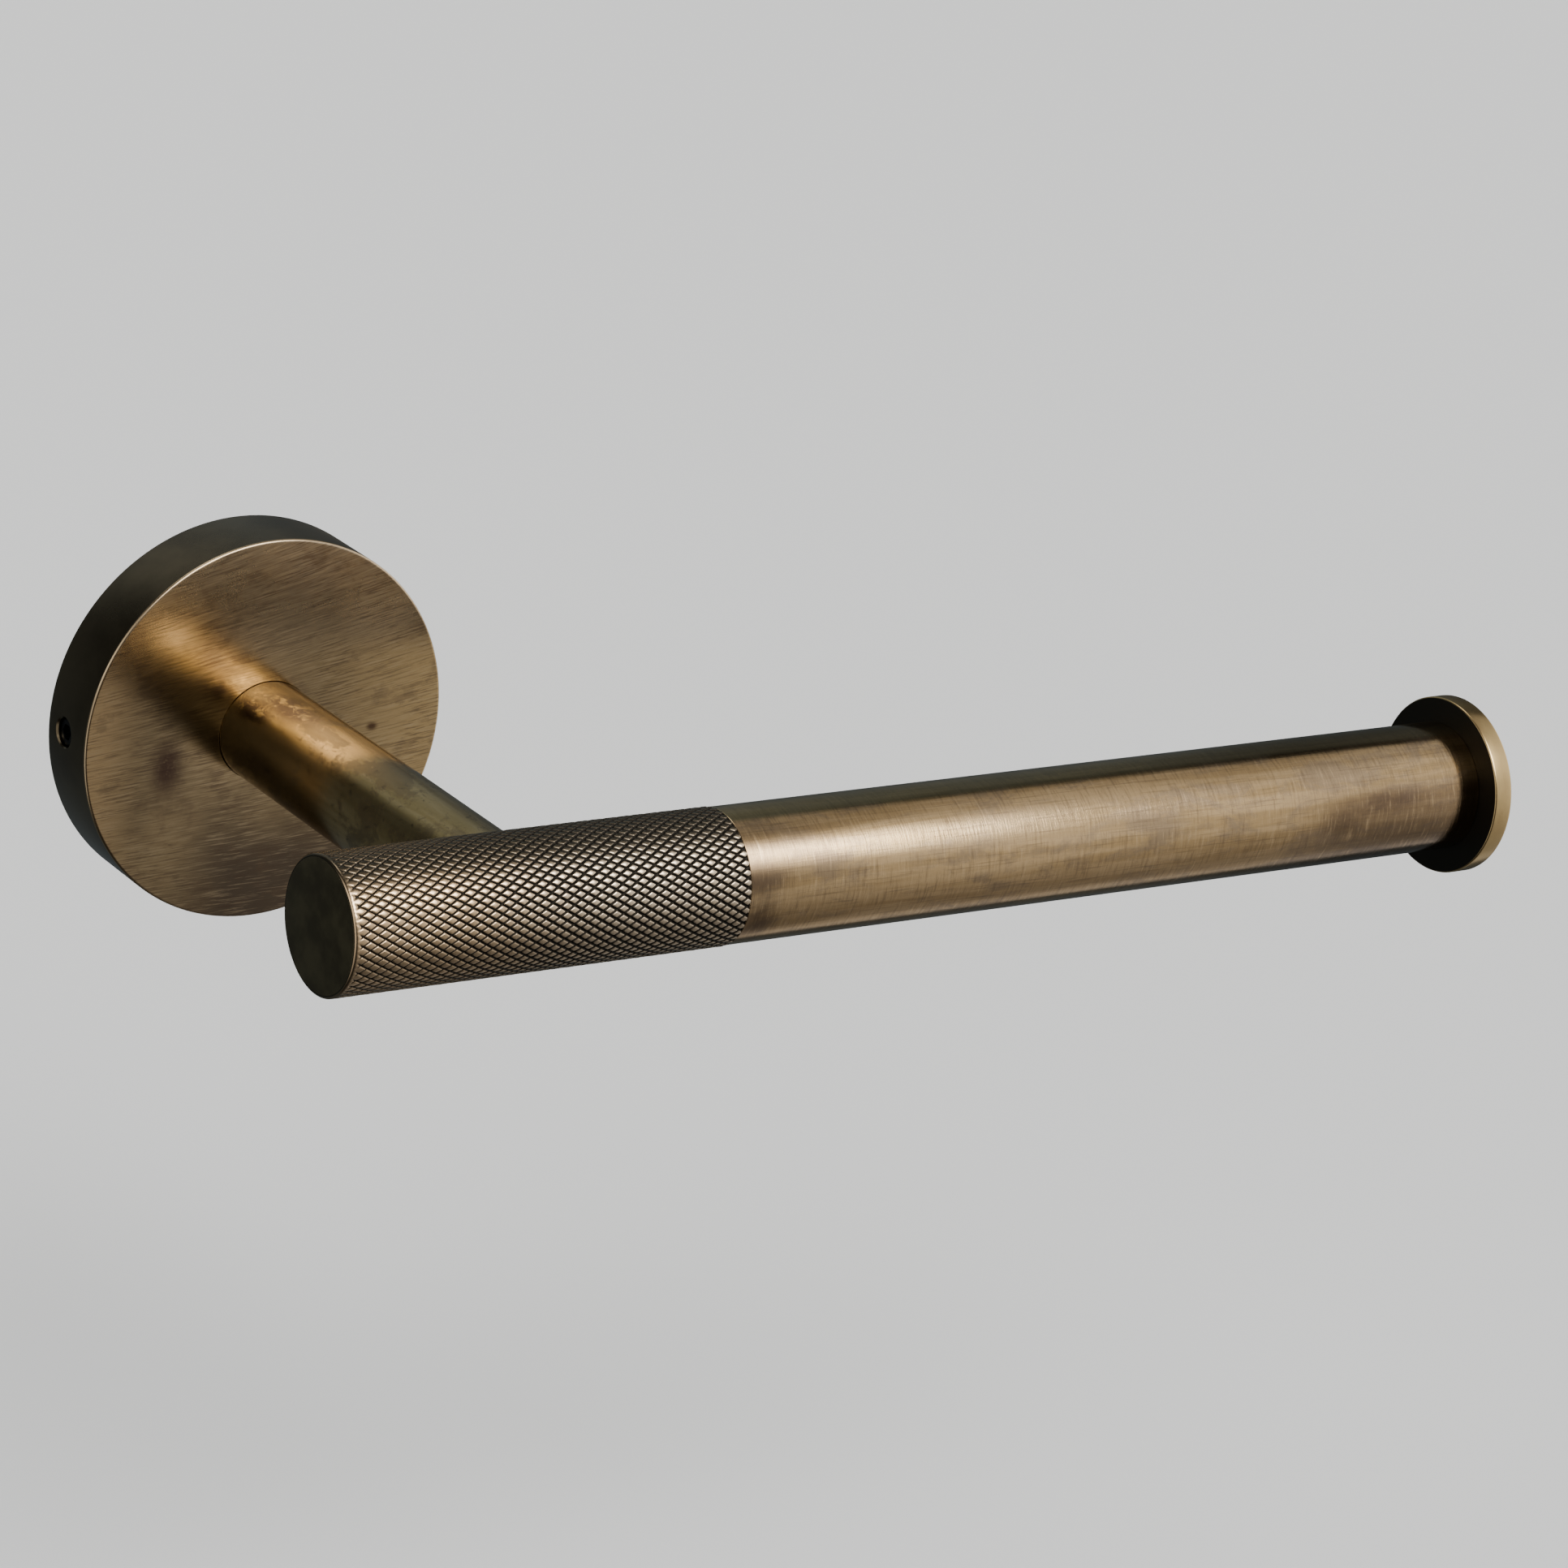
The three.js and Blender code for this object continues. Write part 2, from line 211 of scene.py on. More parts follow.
class Finish:
    """A metal material under construction. Its vectors are object coordinates in millimetres."""

    def __init__(self, name):
        self.material = bpy.data.materials.new(name)
        self.material.use_nodes = True
        self.tree = self.material.node_tree
        self.shader = self.tree.nodes["Principled BSDF"]
        self.shader.inputs["Metallic"].default_value = 1.0
        where = self.node("ShaderNodeTexCoord")
        self.place = self.vector("SCALE", where.outputs["Object"], scale=1 / MM)
        self.bumps = None

    def node(self, kind, **settings):
        node = self.tree.nodes.new(kind)
        for key, value in settings.items():
            setattr(node, key, value)
        return node

    def feed(self, socket, value):
        if isinstance(value, bpy.types.NodeSocket):
            self.tree.links.new(value, socket)
        else:
            socket.default_value = value

    def vector(self, operation, a, b=None, scale=None):
        node = self.node("ShaderNodeVectorMath", operation=operation)
        self.feed(node.inputs[0], a)
        if b is not None:
            self.feed(node.inputs[1], b)
        if scale is not None:
            node.inputs["Scale"].default_value = scale
        return node.outputs["Value" if operation in ("DOT_PRODUCT", "LENGTH") else "Vector"]

    def math(self, operation, a, b=None, c=None, clamp=False):
        node = self.node("ShaderNodeMath", operation=operation, use_clamp=clamp)
        for socket, value in zip(node.inputs, (a, b, c)):
            if value is not None:
                self.feed(socket, value)
        return node.outputs[0]

    def add(self, a, b):
        return self.math("ADD", a, b)

    def times(self, a, b):
        return self.math("MULTIPLY", a, b)

    def split(self, vector):
        node = self.node("ShaderNodeSeparateXYZ")
        self.feed(node.inputs[0], vector)
        return node.outputs[0], node.outputs[1], node.outputs[2]

    def join(self, x, y, z):
        node = self.node("ShaderNodeCombineXYZ")
        for socket, value in zip(node.inputs, (x, y, z)):
            self.feed(socket, value)
        return node.outputs[0]

    def stretched(self, sx, sy, sz, shift=0.0):
        """The place scaled along each axis, and shifted so that two noises don't match."""
        scaled = self.vector("MULTIPLY", self.place, (sx, sy, sz))
        return self.vector("ADD", scaled, (shift, shift * 0.7, -shift))

    def noise(self, vector, detail=3.0, roughness=0.55, scale=1.0, distortion=0.0):
        node = self.node("ShaderNodeTexNoise")
        self.feed(node.inputs["Vector"], vector)
        node.inputs["Scale"].default_value = scale
        node.inputs["Detail"].default_value = detail
        node.inputs["Roughness"].default_value = roughness
        node.inputs["Distortion"].default_value = distortion
        return node.outputs[0]

    def step(self, value, low, high):
        """0 below low, 1 above high, and smooth between. High may be the smaller one."""
        node = self.node("ShaderNodeMapRange", interpolation_type="SMOOTHSTEP")
        flip = low > high
        self.feed(node.inputs["Value"], value)
        node.inputs["From Min"].default_value = min(low, high)
        node.inputs["From Max"].default_value = max(low, high)
        node.inputs["To Min"].default_value = 1.0 if flip else 0.0
        node.inputs["To Max"].default_value = 0.0 if flip else 1.0
        return node.outputs[0]

    def spot(self, centre, radii, soft=0.6):
        """1 inside an ellipsoid round a point, fading to 0 at its edge, in millimetres."""
        away = self.vector("SUBTRACT", self.place, centre)
        away = self.vector("DIVIDE", away, radii)
        return self.step(self.vector("LENGTH", away), 1.0, 1.0 - soft)

    def mix(self, amount, a, b, mode="MIX"):
        node = self.node("ShaderNodeMix", data_type="RGBA", blend_type=mode)
        self.feed(node.inputs["Factor"], amount)
        for socket, value in ((node.inputs[6], a), (node.inputs[7], b)):
            self.feed(socket, value if isinstance(value, bpy.types.NodeSocket) else (*value, 1.0))
        return node.outputs[2]

    def blend(self, amount, low, high):
        """Low where amount is 0, high where it is 1."""
        node = self.node("ShaderNodeMix", data_type="FLOAT")
        self.feed(node.inputs["Factor"], amount)
        self.feed(node.inputs[2], low)
        self.feed(node.inputs[3], high)
        return node.outputs[0]

    def tint(self, colour, towards, where, amount):
        """The colour, moved by an amount towards another where a mask is 1."""
        return self.mix(self.times(where, amount), colour, towards)

    def grainy(self, rough, grain, amount):
        """The roughness, varied by a fine grain."""
        return self.add(rough, self.times(self.math("SUBTRACT", grain, 0.5), amount))

    def bump(self, height, depth):
        """Adds relief, whose height of 0 to 1 stands for a depth in millimetres."""
        node = self.node("ShaderNodeBump")
        node.inputs["Distance"].default_value = depth * MM
        self.feed(node.inputs["Height"], height)
        if self.bumps is not None:
            self.feed(node.inputs["Normal"], self.bumps)
        self.bumps = node.outputs[0]

    def done(self, colour, roughness):
        self.feed(self.shader.inputs["Base Color"], colour)
        self.feed(self.shader.inputs["Roughness"], roughness)
        if self.bumps is not None:
            self.feed(self.shader.inputs["Normal"], self.bumps)
        return self.material


PALE = (0.65, 0.45, 0.235)
BRASS = (0.50, 0.335, 0.16)
BROWN = (0.26, 0.165, 0.085)
UMBER = (0.12, 0.078, 0.052)
GREY = (0.30, 0.225, 0.155)
SOOT = (0.02, 0.017, 0.013)


# Dark patches on the plain bar: along it, round it in degrees, and half sizes along and round.
BAR_PATCHES = ((32, 16, 7, 3.0), (135, 16, 12, 2.6), (128, 2, 6, 3.0), (33, -20, 4, 5.0))

# Dark patches on the post, near the rose: centre and half sizes.
POST_PATCHES = (
    ((-1.9, -21.0, POST_RADIUS - 0.3), (3.6, 9.0, 3.0)),
    ((-4.9, -16.0, 4.9), (2.2, 6.0, 2.6)),
)


def bar_point(x, degrees):
    """A point on the plain bar's surface, for placing a mark."""
    return tuple(c / MM for c in on_bar(BAR_RADIUS, math.radians(degrees), x))


def bar_finish():
    """Long streaks and hairs along the bar, crossed by short brush marks, under patchy tarnish."""
    f = Finish("aged_brass_bar")
    streaks = f.noise(f.stretched(0.035, 0.55, 0.55), detail=4, roughness=0.6, distortion=0.3)
    hairs = f.noise(f.stretched(0.10, 4.0, 4.0, shift=11), detail=2, roughness=0.6)
    hatch = f.noise(f.stretched(2.5, 0.28, 0.28, shift=5), detail=4, roughness=0.7, distortion=0.2)
    clouds = f.noise(f.stretched(0.09, 0.22, 0.22, shift=31), detail=6, roughness=0.68, distortion=0.4)
    grain = f.noise(f.stretched(3.5, 3.5, 3.5, shift=3), detail=3, roughness=0.7)
    x, _, z = f.split(f.place)
    colour = f.mix(f.step(streaks, 0.38, 0.62), PALE, BRASS)
    tarnish = f.step(clouds, 0.46, 0.62)
    colour = f.tint(colour, GREY, tarnish, 0.6)
    # Painted shade: the bar's underside is tinted darker brown.
    painted_underside_shade = f.step(z, 1.5, -3.5)
    colour = f.tint(colour, BROWN, painted_underside_shade, 0.35)
    # Painted shade: the lower side of the bar near the flange is darkened.
    painted_flange_shade = f.times(f.step(x, 112, 140), f.step(z, 6.5, 2.5))
    colour = f.tint(colour, UMBER, painted_flange_shade, 0.6)
    for at, degrees, length, height in BAR_PATCHES:
        patch = f.spot(bar_point(at, degrees), (length, height, height), soft=0.9)
        patch = f.times(patch, f.step(clouds, 0.2, 0.55))
        colour = f.tint(colour, UMBER, patch, 0.75)
    # Painted highlight: a lighter band along the lit side of the bar, then painted shade at its left end to
    # dim the light there.
    painted_bar_highlight = f.spot(bar_point(75, 38), (26, 4, 4), soft=0.9)
    colour = f.tint(colour, (0.74, 0.53, 0.30), painted_bar_highlight, 0.35)
    shaded = f.spot(bar_point(31, 40), (24, 6, 6), soft=0.9)
    colour = f.tint(colour, (0.25, 0.17, 0.095), shaded, 0.75)
    colour = f.tint(colour, UMBER, f.step(hatch, 0.50, 0.66), 0.30)
    colour = f.tint(colour, (0.78, 0.56, 0.32), f.step(hatch, 0.46, 0.30), 0.36)
    colour = f.tint(colour, UMBER, f.step(hairs, 0.56, 0.70), 0.28)
    # Painted reflection: the top of the bar is tinted olive, like the grey-green wall behind it.
    top = f.step(z, BAR_RADIUS - 0.42, BAR_RADIUS - 0.30)
    colour = f.tint(colour, (0.42, 0.36, 0.20), top, 0.5)
    rough = f.grainy(f.blend(tarnish, 0.12, 0.18), grain, 0.06)
    f.bump(hatch, 0.012)
    f.bump(hairs, 0.004)
    return f.done(colour, rough)


def brushed(f):
    """Brush lines across the rose, which rise to the right, and where they are strong.

    They rise more steeply near its top. Returns the lines' noise and a 0 to 1 strength.
    """
    x, y, z = f.split(f.place)
    lean = f.times(x, f.math("MULTIPLY_ADD", z, 0.005, 0.14))
    across = f.times(f.math("SUBTRACT", z, lean), 5.6)
    along = f.times(x, 0.24)
    strokes = f.noise(f.join(along, y, across), detail=3, roughness=0.6)
    patches = f.noise(f.stretched(0.16, 0.16, 0.16, shift=23), detail=3, roughness=0.6)
    return strokes, f.step(patches, 0.40, 0.60)


def rose_finish():
    """A brushed face with painted light to the right and painted shade below, and a rim painted dark as
    shade.
    """
    f = Finish("aged_brass_rose")
    lines, strong = brushed(f)
    clouds = f.noise(f.stretched(0.06, 0.06, 0.07, shift=7), detail=5, roughness=0.6)
    mottle = f.noise(f.stretched(0.22, 0.22, 0.3, shift=17), detail=5, roughness=0.65)
    grain = f.noise(f.stretched(2.2, 2.2, 2.2, shift=2), detail=3, roughness=0.7)
    x, y, z = f.split(f.place)
    colour = f.mix(f.step(clouds, 0.38, 0.62), (0.37, 0.266, 0.144), (0.285, 0.208, 0.116))
    # Broad changes of tone over the face: painted light to the right and at the left edge, and painted shade
    # low in the middle.
    painted_light_right = f.times(f.step(x, -2, 26), f.step(z, 15, 8))
    colour = f.tint(colour, (0.50, 0.345, 0.16), painted_light_right, 0.85)
    # Painted light: lighter towards the left edge.
    colour = f.mix(f.step(x, -17, -27), colour, (0.55, 0.375, 0.19))
    # Painted shade low in the middle of the face, below the post.
    painted_shade_low = f.times(f.step(x, -16, -3), f.step(z, -8, -20))
    colour = f.tint(colour, (0.095, 0.072, 0.055), painted_shade_low, 0.85)
    top = f.step(z, 7, 21)
    colour = f.tint(colour, (0.34, 0.29, 0.235), top, 0.3)
    colour = f.tint(colour, (0.17, 0.115, 0.07), f.step(mottle, 0.52, 0.66), 0.4)
    pale = f.spot((16.0, -ROSE_DEPTH, 16.0), (9.0, 3.0, 6.0), soft=0.9)
    colour = f.tint(colour, (0.56, 0.42, 0.25), pale, 0.5)
    # Painted reflection of the post's lit side: a pale streak up and to the left of it.
    painted_post_reflection = f.spot((-15.5, -ROSE_DEPTH, 15.0), (5.0, 3.0, 4.0), soft=0.9)
    colour = f.tint(colour, (0.74, 0.56, 0.34), painted_post_reflection, 0.6)
    # Brush lines, then marks that lie on top of them.
    dark_lines = f.times(f.step(lines, 0.52, 0.60), f.blend(strong, 0.30, 0.55))
    colour = f.mix(dark_lines, colour, UMBER)
    light_lines = f.times(f.step(lines, 0.46, 0.38), f.blend(strong, 0.22, 0.38))
    colour = f.mix(light_lines, colour, (0.58, 0.44, 0.265))
    smudge = f.spot((-14.6, -ROSE_DEPTH, -4.2), (3.6, 3, 6.0), soft=0.9)
    smudge = f.times(smudge, f.step(grain, 0.1, 0.5))
    colour = f.tint(colour, (0.08, 0.045, 0.035), smudge, 0.9)
    fleck = f.spot((16.5, -ROSE_DEPTH, -1.0), (1.2, 2, 0.9), soft=0.8)
    colour = f.tint(colour, (0.07, 0.03, 0.02), fleck, 0.8)
    # The rounded edge is painted lighter as a highlight, and the rim behind it is painted dark as shade.
    edge = f.step(y, -ROSE_DEPTH + 0.02, -ROSE_DEPTH + 0.1)
    colour = f.mix(edge, colour, (0.50, 0.37, 0.22))
    cloudy = f.step(clouds, 0.3, 0.7)
    painted_rim_shade_colour = f.mix(cloudy, (0.12, 0.092, 0.055), (0.20, 0.155, 0.092))
    rim = f.step(y, -ROSE_DEPTH + 0.32, -ROSE_DEPTH + 0.5)
    colour = f.mix(rim, colour, painted_rim_shade_colour)
    rough = f.grainy(f.blend(cloudy, 0.17, 0.23), grain, 0.04)
    rough = f.add(rough, f.times(top, 0.09))
    f.bump(lines, 0.006)
    return f.done(colour, rough)


def post_finish():
    """Yellower brass with blotches and specks of tarnish, and two dark patches near the rose."""
    f = Finish("aged_brass_post")
    streaks = f.noise(f.stretched(0.9, 0.10, 0.9), detail=5, roughness=0.6)
    blotches = f.noise(f.stretched(0.16, 0.10, 0.16, shift=9), detail=7, roughness=0.72, distortion=0.3)
    specks = f.noise(f.stretched(0.7, 0.45, 0.7, shift=19), detail=5, roughness=0.7, distortion=0.5)
    grain = f.noise(f.stretched(3, 3, 3, shift=4), detail=3, roughness=0.7)
    _, y, z = f.split(f.place)
    colour = f.mix(f.step(streaks, 0.35, 0.65), (0.62, 0.455, 0.22), (0.52, 0.37, 0.16))
    # Painted reflection tint: the lower side near the rose is paled, so the rose's reflection there looks
    # less orange.
    flank = f.times(f.step(z, 5.2, 2.6), f.step(y, -40, -28))
    colour = f.tint(colour, (0.76, 0.66, 0.42), flank, 0.7)
    tarnish = f.step(blotches, 0.50, 0.58)
    colour = f.tint(colour, (0.23, 0.17, 0.095), tarnish, 0.65)
    colour = f.tint(colour, UMBER, f.step(specks, 0.58, 0.68), 0.6)
    for centre, radii in POST_PATCHES:
        patch = f.spot(centre, radii, soft=0.7)
        patch = f.times(patch, f.step(specks, 0.36, 0.50))
        colour = f.tint(colour, UMBER, patch, 0.92)
    rough = f.grainy(f.blend(tarnish, 0.16, 0.24), grain, 0.06)
    f.bump(streaks, 0.004)
    return f.done(colour, rough)


def knurl_tops(f):
    """1 on the diamonds' tops and 0 in the grooves between them, which are wider to the right."""
    x, y, z = f.split(f.place)
    outward = f.math("SUBTRACT", f.times(y, -1.0), BAR_OUT)
    turns = f.times(f.math("ARCTAN2", z, outward), KNURL_STARTS / (2 * math.pi))
    along = f.math("DIVIDE", x, KNURL_PITCH)
    widen = f.times(f.step(x, -27, 8), 0.075)
    tops = []
    for across in (f.add(turns, along), f.math("SUBTRACT", turns, along)):
        from_groove = f.math("PINGPONG", across, 0.5)
        tops.append(f.step(f.math("SUBTRACT", from_groove, widen), 0.05, 0.17))
    return f.times(*tops)


def knurl_finish():
    """Bright diamonds and sooty grooves, with painted shade on the top and the bottom of the grip and on its
    end face.
    """
    f = Finish("aged_brass_knurl")
    tops = knurl_tops(f)
    x, _, z = f.split(f.place)
    clouds = f.noise(f.stretched(0.11, 0.16, 0.16, shift=21), detail=4, roughness=0.6)
    grain = f.noise(f.stretched(4, 4, 4, shift=6), detail=3, roughness=0.7)
    colour = f.mix(f.step(clouds, 0.35, 0.7), (0.74, 0.52, 0.30), (0.60, 0.42, 0.24))
    colour = f.mix(f.step(x, -16, 14), colour, (0.76, 0.61, 0.43))
    # Painted shade: the top of the grip is darkened.
    colour = f.tint(colour, (0.10, 0.082, 0.055), f.step(z, 6.2, 8.4), 0.85)
    # Painted shade: the bottom of the grip is darkened.
    painted_underside_shade = f.times(f.step(z, 4.0, -3.0), f.blend(f.step(x, -16, 10), 0.62, 0.52))
    colour = f.mix(painted_underside_shade, colour, (0.17, 0.13, 0.085))
    colour = f.tint(colour, BROWN, f.step(grain, 0.5, 0.75), 0.25)
    plain_lip = f.step(x, GRIP_LOW.x + 1.0, GRIP_LOW.x + 0.5)
    tops = f.math("MAXIMUM", tops, plain_lip)
    colour = f.mix(tops, SOOT, colour)
    # Painted shade: the grip's end face is coloured dark.
    end = f.step(x, GRIP_LOW.x + 0.06, GRIP_LOW.x + 0.02)
    colour = f.mix(end, colour, (0.11, 0.09, 0.06))
    return f.done(colour, f.blend(tops, 0.6, 0.20))


def flange_finish():
    """Turned brass, with its face toward the bar painted dark and dull as shade."""
    f = Finish("aged_brass_flange")
    rings = f.noise(f.stretched(8, 0.3, 0.3, shift=8), detail=3, roughness=0.6)
    clouds = f.noise(f.stretched(0.2, 0.12, 0.12, shift=14), detail=4, roughness=0.6)
    x, _, _ = f.split(f.place)
    colour = f.mix(f.step(clouds, 0.35, 0.65), (0.62, 0.44, 0.20), (0.50, 0.345, 0.155))
    colour = f.tint(colour, BROWN, f.step(clouds, 0.58, 0.7), 0.4)
    # Painted shade: the face toward the bar is coloured near black.
    face = FLANGE_HIGH.x - FLANGE_THICKNESS
    inner = f.step(x, face + 0.05, face + 0.02)
    colour = f.mix(inner, colour, (0.040, 0.036, 0.028))
    rough = f.blend(inner, f.blend(clouds, 0.18, 0.28), 0.42)
    f.bump(rings, 0.003)
    return f.done(colour, rough)


# Painted shade: the grip's end disc is coloured dark all over.
def end_disc_finish():
    f = Finish("aged_brass_end")
    clouds = f.noise(f.stretched(0.2, 0.2, 0.2, shift=3), detail=5, roughness=0.6)
    colour = f.mix(f.step(clouds, 0.35, 0.65), (0.13, 0.105, 0.058), (0.20, 0.165, 0.09))
    return f.done(colour, f.blend(clouds, 0.32, 0.42))


def plain_metal(name, light, dark, low, high, scale=0.8):
    """A simple machined or plated metal, with fine grain and a little variation."""
    f = Finish(name)
    grain = f.noise(f.stretched(scale, scale, scale), detail=5, roughness=0.65)
    fine = f.noise(f.stretched(6, 6, 6, shift=5), detail=2, roughness=0.6)
    f.bump(fine, 0.004)
    return f.done(f.mix(f.step(grain, 0.3, 0.7), light, dark), f.blend(grain, low, high))


BAR = bar_finish()
ROSE = rose_finish()
POST = post_finish()
KNURL = knurl_finish()
FLANGE = flange_finish()
END_DISC = end_disc_finish()
TURNED = plain_metal("turned_brass", (0.75, 0.55, 0.26), (0.60, 0.42, 0.18), 0.22, 0.36)
BLACK = plain_metal("black_steel", (0.03, 0.03, 0.032), (0.015, 0.015, 0.017), 0.3, 0.45, scale=2)
ZINC_PLATE = plain_metal("zinc_steel", (0.62, 0.63, 0.64), (0.48, 0.50, 0.52), 0.25, 0.42)
CASTING = plain_metal("cast_zinc", (0.40, 0.41, 0.42), (0.27, 0.28, 0.29), 0.42, 0.6, scale=0.5)


# ---- The wall side -------------------------------------------------------------------------

def rose():
    """The cover cup, with a shallow seat for the post and a countersunk hole for the grub screw."""
    inside = ROSE_DEPTH - ROSE_FACE
    cup_radius = ROSE_RADIUS - ROSE_WALL
    seat_radius = POST_RADIUS + 0.07
    seat = POST_BASE - 0.3
    outline = rounded([
        (M6_CLEARANCE, inside, 0), (cup_radius, inside, 0.8), (cup_radius, ROSE_BACK, 0.2),
        (ROSE_RADIUS, ROSE_BACK, 0.25), (ROSE_RADIUS, ROSE_DEPTH, 0.36), (seat_radius, ROSE_DEPTH, 0.05),
        (seat_radius, seat, 0), (M6_CLEARANCE, seat, 0),
    ], steps=6)
    cup = turned("rose_cup", outline, on_post, ROSE, segments=256, closed=True)
    hole = GRUB_RADIUS + 0.2
    drill = turned("cutter", [
        (0, cup_radius - 1), (hole, cup_radius - 1), (hole, ROSE_RADIUS - 0.25),
        (hole + 0.3, ROSE_RADIUS + 0.05), (hole + 0.3, ROSE_RADIUS + 1), (0, ROSE_RADIUS + 1),
    ], on_grub, None, segments=48)
    return cut(cup, drill)


def threaded(name, place, outline_radius, low, high, pitch, depth, material, segments=32, per_turn=8):
    """A threaded shank: outline_radius(height) is its crest radius, and depth its thread's."""
    half_ridge = 0.32  # of the pitch
    rows = int((high - low) / pitch * per_turn)
    vertices = []
    for j in range(rows + 1):
        height = low + (high - low) * j / rows
        for i in range(segments):
            phase = (height / pitch - i / segments) % 1.0
            ridge = max(0.0, 1.0 - abs(phase - 0.5) / half_ridge)
            radius = outline_radius(height) - depth * (1.0 - ridge)
            vertices.append(place(max(radius, 0.05), 2 * math.pi * i / segments, height))
    faces = [list(range(segments)), list(range(rows * segments, (rows + 1) * segments))]
    for j in range(rows):
        for i in range(segments):
            k = (i + 1) % segments
            faces.append([j * segments + i, j * segments + k, (j + 1) * segments + k, (j + 1) * segments + i])
    return new_piece(name, vertices, faces, material, sharp=50)


def join_into(main, *others):
    """Joins other pieces' meshes into the main piece."""
    for other in others:
        with bpy.context.temp_override(active_object=main, object=main, selected_objects=[main, other],
                                       selected_editable_objects=[main, other]):
            bpy.ops.object.join()
    return main


def wood_screw(name, at):
    """A countersunk cross-head wood screw, at a height above the post's axis."""
    top = -SCREW_LOW.y
    tip = -SCREW_HIGH.y
    head = SCREW_HIGH.x
    crest, core, pitch, depth = 2.0, 1.35, 1.8, 0.62
    taper = 6.0
    thread_end = top - 9.5

    def place(radius, angle, height):
        x, y, z = on_post(radius, angle, height)
        return (x, y, z + at * MM)

    body = turned(name, rounded([
        (0, thread_end - 2, 0), (core, thread_end - 2, 0), (crest - 0.35, thread_end + 0.5, 0.3),
        (crest - 0.35, top - head + crest, 0.4), (head, top - 0.25, 0.1), (head, top, 0.08), (0, top, 0),
    ]), place, ZINC_PLATE, segments=64)
    recess = []
    for half_x, half_z in ((2.1, 0.5), (0.5, 2.1)):
        points = []
        for height, scale in ((top - 2.2, 0.35), (top + 0.4, 1.0)):
            points += [(sx * half_x * scale * MM, -height * MM, (sz * half_z * scale + at) * MM)
                       for sx, sz in ((-1, -1), (1, -1), (1, 1), (-1, 1))]
        faces = [(0, 1, 2, 3), (4, 5, 6, 7), (0, 1, 5, 4), (1, 2, 6, 5), (2, 3, 7, 6), (3, 0, 4, 7)]
        recess.append(new_piece("cutter", points, faces, None))
    cut(body, *recess)

    def crest_radius(height):
        return crest * min(1.0, 0.06 + (height - tip) / taper)

    thread = threaded(name + "_thread", place, crest_radius, tip, thread_end, pitch, depth, ZINC_PLATE)
    return join_into(body, thread)


def wall_plate():
    """A disc with a pocket for the post screw, a countersunk hole above it and a slot below."""
    pocket_radius, pocket_floor = 8.5, 2.0
    plate = turned("wall_plate_disc", rounded([
        (0, 0, 0), (PLATE_RADIUS, 0, 0.3), (PLATE_RADIUS, PLATE_DEPTH, 0.5),
        (pocket_radius, PLATE_DEPTH, 0.4), (pocket_radius, pocket_floor, 0.4), (0, pocket_floor, 0),
    ]), on_post, CASTING, segments=128)
    hole, sink, sink_depth = 2.3, 4.1, 1.8
    for at, shifts in ((WOOD_SCREW_AT, (0.0,)), (-WOOD_SCREW_AT, (-1.5, -0.75, 0.0, 0.75, 1.5))):
        for shift in shifts:
            def place(radius, angle, height, at=at, shift=shift):
                x, y, z = on_post(radius, angle, height)
                return (x + shift * MM, y, z + at * MM)

            cut(plate, turned("cutter", [
                (0, -1), (hole, -1), (hole, PLATE_DEPTH - sink_depth), (sink, PLATE_DEPTH),
                (sink, PLATE_DEPTH + 1), (0, PLATE_DEPTH + 1),
            ], place, None, segments=48))
    return plate


def grub_screw():
    """A set screw with a cone point and a hexagon socket."""
    head = -GRUB_LOW.x
    point = -GRUB_HIGH.x
    outer = GRUB_RADIUS + 0.12
    socket = 2.0
    body = turned("grub_screw_body", rounded([
        (0, point, 0), (1.0, point, 0.1), (outer, point + 0.8, 0.1), (outer, head, 0.3), (0, head, 0),
    ]), on_grub, BLACK, segments=48)
    return cut(body, hexagon(on_grub, socket, head - socket, head + 1))


def post():
    """A rod whose far edge follows the grip's round side."""
    segments, chamfer = 160, 0.12
    saddle = GRIP_RADIUS - 0.15
    rings = [(0.0, POST_BASE), (POST_RADIUS - chamfer, POST_BASE), (POST_RADIUS, POST_BASE + chamfer),
             (POST_RADIUS, 30.0), (POST_RADIUS, 50.0), (POST_RADIUS, 64.0)]
    vertices, faces = [], []
    for radius, height in rings:
        vertices += [on_post(radius, 2 * math.pi * i / segments, height) for i in range(segments)]
    for i in range(segments):
        angle = 2 * math.pi * i / segments
        up = POST_RADIUS * math.sin(angle)
        vertices.append(on_post(POST_RADIUS, angle, BAR_OUT - math.sqrt(saddle ** 2 - up ** 2)))
    rows = len(rings)
    for j in range(rows):
        for i in range(segments):
            k = (i + 1) % segments
            faces.append([j * segments + i, j * segments + k, (j + 1) * segments + k, (j + 1) * segments + i])
    # The end is closed by straight strips from the edge's top half to its bottom half. They lie
    # inside the grip, where nothing shows them.
    half = segments // 2
    last = rows * segments
    faces.append([last, last + 1, last + segments - 1])
    for i in range(2, half):
        faces.append([last + i - 1, last + i, last + segments - i, last + segments - i + 1])
    faces.append([last + half - 1, last + half, last + half + 1])
    piece = new_piece("post_rod", vertices, faces, POST)
    shape = bmesh.new()
    shape.from_mesh(piece.data)
    bmesh.ops.remove_doubles(shape, verts=shape.verts, dist=1e-7)
    shape.to_mesh(piece.data)
    shape.free()
    return piece


